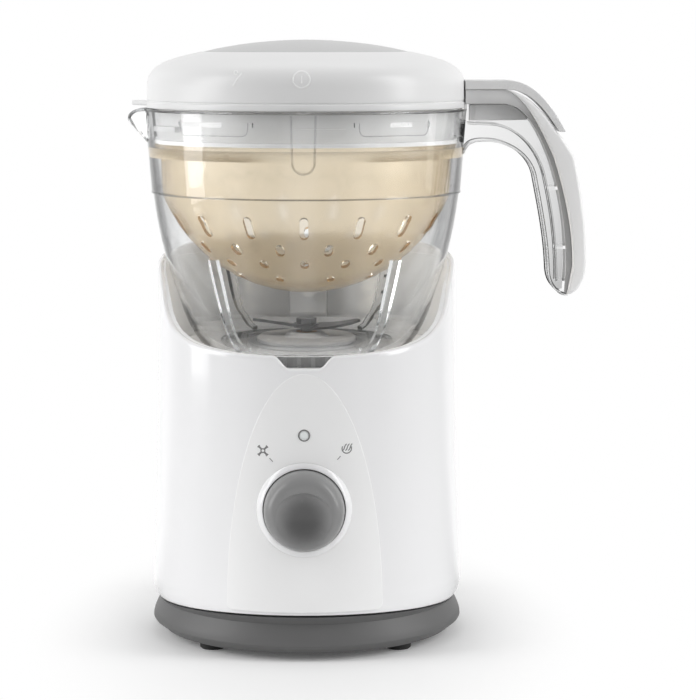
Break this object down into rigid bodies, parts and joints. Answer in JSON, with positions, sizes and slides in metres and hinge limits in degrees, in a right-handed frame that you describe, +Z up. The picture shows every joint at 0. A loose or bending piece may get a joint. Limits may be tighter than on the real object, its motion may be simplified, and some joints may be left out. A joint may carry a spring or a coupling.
{
  "type": "baby food maker",
  "caption": "Countertop steam-and-blend baby food maker: motor base with a front knob, clear spouted jug with a hooked handle, hanging amber steaming basket and a domed locking lid.",
  "frame": {"origin": "centre of the plane through the four feet, on the jug's vertical axis", "axes": "+Z up, -Y towards the control knob, +X towards the handle, -X towards the spout"},
  "size_m": [0.2336, 0.1733, 0.3043],
  "materials": {
    "white_shell": "gloss",
    "panel_white": "gloss",
    "lid_white": "gloss",
    "light_grey": "satin",
    "mid_grey": "satin",
    "dark_grey": "satin",
    "knob_grey": "satin",
    "liner_grey": "satin",
    "clear_jug": "clear gloss",
    "amber_basket": "translucent",
    "milky_inner_lid": "translucent",
    "rubber_black": "matte",
    "silicone": "satin",
    "blade_steel": "brushed",
    "steel": "satin",
    "laminations": "dull",
    "copper": "satin",
    "bronze": "satin",
    "cast_plate": "cast",
    "board_green": "satin",
    "brush_brown": "matte",
    "signal_orange": "satin"
  },
  "bodies": {
    "base": {"base_cover": "dark_grey", "rubber_feet": "rubber_black", "base_screws": "steel", "main_housing": "white_shell", "front_panel": "panel_white", "well_liner": "liner_grey", "liner_screws": "steel", "cord_gland": "rubber_black", "knob_bezel": "white_shell", "selector_switch": "dark_grey", "pilot_lens": "panel_white", "pilot_board": "board_green", "motor_upper_bracket": "steel", "motor_lower_bracket": "steel", "motor_stator": "laminations", "field_coils": "copper", "motor_rubber_mounts": "rubber_black", "motor_screws": "steel", "upper_bearing": "steel", "lower_bearing": "steel", "brush_holders": "brush_brown", "well_seal": "rubber_black", "boiler_tank": "steel", "heating_plate": "cast_plate", "thermostat": "bronze", "steam_duct": "liner_grey", "boiler_cap_seal": "silicone", "interlock_switch": "dark_grey"},
    "knob": {"control_knob": "knob_grey", "knob_shaft": "steel"},
    "rotor": {"motor_rotor": "laminations", "motor_commutator": "copper", "motor_shaft": "steel", "cooling_fan": "light_grey", "drive_coupling": "dark_grey"},
    "filler_cap": {"boiler_cap": "light_grey"},
    "plunger": {"interlock_plunger": "signal_orange"},
    "jug": {"jug_body": "clear_jug", "handle_grip_shell": "light_grey", "handle_inlay": "mid_grey", "handle_top_strip": "light_grey", "handle_screws": "steel", "steam_valve": "silicone", "blade_carrier": "mid_grey", "carrier_seal": "silicone", "blade_bush": "bronze"},
    "collar": {"jug_collar": "mid_grey"},
    "blades": {"blade_shaft": "blade_steel", "blade_wings": "blade_steel", "blade_nut": "blade_steel", "jug_coupling": "dark_grey"},
    "basket": {"steam_basket": "amber_basket"},
    "seal": {"lid_seal": "silicone"},
    "lid": {"lid_inner": "milky_inner_lid", "lid_dome": "lid_white", "lid_cap": "light_grey"}
  },
  "joints": [
    {"name": "knob_turn", "type": "hinge", "parent": "base", "child": "knob", "pos_m": [0, -0.075, 0.076], "axis": [0, -1, 0], "range_deg": [-35, 35]},
    {"name": "motor_spin", "type": "hinge", "parent": "base", "child": "rotor", "pos_m": [0, 0, 0.1], "axis": [0, 0, 1], "continuous": true},
    {"name": "boiler_cap_turn", "type": "hinge", "parent": "base", "child": "filler_cap", "pos_m": [0, 0.05, 0.136], "axis": [0, 0, 1], "range_deg": [0, 90]},
    {"name": "interlock_press", "type": "slide", "parent": "base", "child": "plunger", "axis": [0, 0, 1], "range_m": [-0.0015, 0], "stiffness_N_per_m": 200, "springref_m": 0.0025},
    {"name": "jug_lift", "type": "slide", "parent": "base", "child": "jug", "axis": [0, 0, 1], "range_m": [0, 0.15]},
    {"name": "collar_turn", "type": "hinge", "parent": "jug", "child": "collar", "pos_m": [0, 0, 0.14], "axis": [0, 0, 1], "range_deg": [0, 20]},
    {"name": "blade_spin", "type": "hinge", "parent": "jug", "child": "blades", "pos_m": [0, 0, 0.15], "axis": [0, 0, 1], "continuous": true},
    {"name": "basket_lift", "type": "slide", "parent": "jug", "child": "basket", "axis": [0, 0, 1], "range_m": [0, 0.1]},
    {"name": "lid_lift", "type": "slide", "parent": "basket", "child": "seal", "axis": [0, 0, 1], "range_m": [0, 0.05]},
    {"name": "lid_turn", "type": "hinge", "parent": "seal", "child": "lid", "pos_m": [0, 0, 0.26], "axis": [0, 0, 1], "range_deg": [0, 24]}
  ],
  "couplings": [
    {"joint": "blade_spin", "follows": "motor_spin", "ratio": 1}
  ]
}
